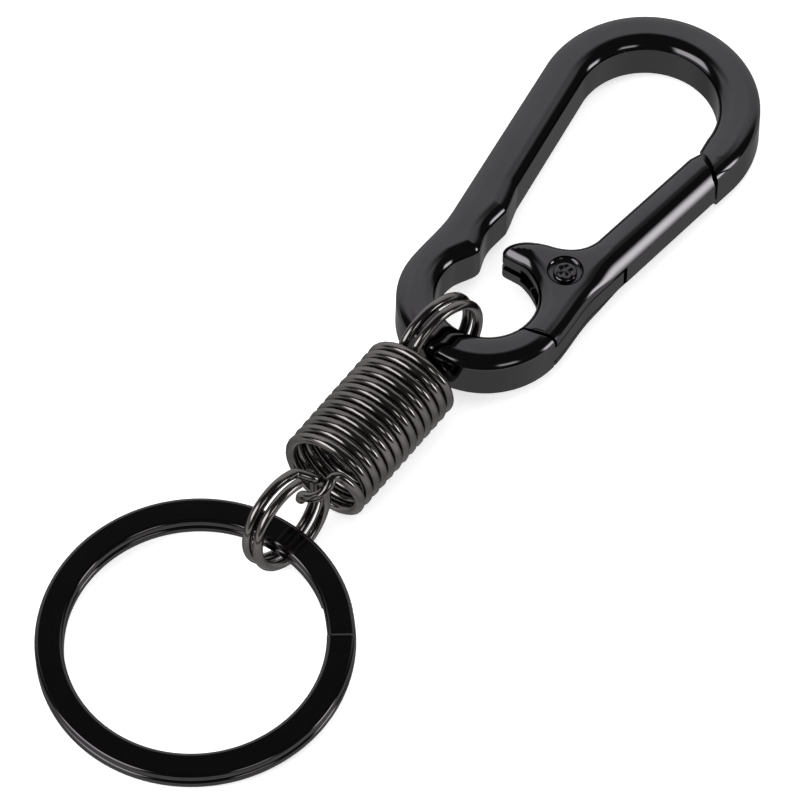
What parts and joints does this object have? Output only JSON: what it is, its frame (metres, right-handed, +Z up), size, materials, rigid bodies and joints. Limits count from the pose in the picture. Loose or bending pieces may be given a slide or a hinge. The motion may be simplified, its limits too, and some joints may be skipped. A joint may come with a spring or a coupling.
{
  "type": "carabiner keyring",
  "caption": "Snap carabiner joined by small split rings and a close-wound coil spring to a flat split key ring, lying flat.",
  "frame": {"origin": "bottom centre of the part's box, as it lies on a table", "axes": "+Y along the chain towards the carabiner's big end, +X towards the gate side, +Z up"},
  "size_m": [0.03, 0.0986, 0.0104],
  "materials": {
    "black_nickel": "polished black nickel plate",
    "spring_steel": "drawn wire, black nickel plate, slightly warm"
  },
  "bodies": {
    "carabiner": {"carabiner_body": "black_nickel", "gate_rivet": "black_nickel", "gate_spring": "spring_steel"},
    "gate": {"gate": "black_nickel"},
    "upper_ring": {"upper_split_ring": "spring_steel"},
    "coil": {"coil_spring": "spring_steel"},
    "lower_ring": {"lower_split_ring": "spring_steel"},
    "key_ring": {"key_ring": "black_nickel"}
  },
  "joints": [
    {"name": "gate_open", "type": "hinge", "parent": "carabiner", "child": "gate", "pos_m": [0.00658, 0.01749, 0.00387], "axis": [0, 0.0366, 0.9993], "range_deg": [0, 25], "stiffness_Nm_per_rad": 0.01, "springref_deg": -11.46, "deforming": ["gate_spring"]},
    {"name": "upper_ring_slide_round", "type": "hinge", "parent": "carabiner", "child": "upper_ring", "pos_m": [0.0019, 0.01112, 0.0041], "axis": [0, 0.0366, 0.9993], "range_deg": [-35, 35]},
    {"name": "coil_swing", "type": "hinge", "parent": "upper_ring", "child": "coil", "pos_m": [0.00085, 0.00465, 0.00527], "axis": [-0.9824, 0.1732, -0.0698], "range_deg": [-14, 60]},
    {"name": "lower_ring_swing", "type": "hinge", "parent": "coil", "child": "lower_ring", "pos_m": [0.00084, -0.01723, 0.00634], "axis": [-0.9994, 0.0349, 0], "range_deg": [-35, 35]},
    {"name": "key_ring_swing", "type": "hinge", "parent": "lower_ring", "child": "key_ring", "pos_m": [0, -0.02069, 0.00345], "axis": [-1, 0, 0], "range_deg": [-35, 45]}
  ]
}
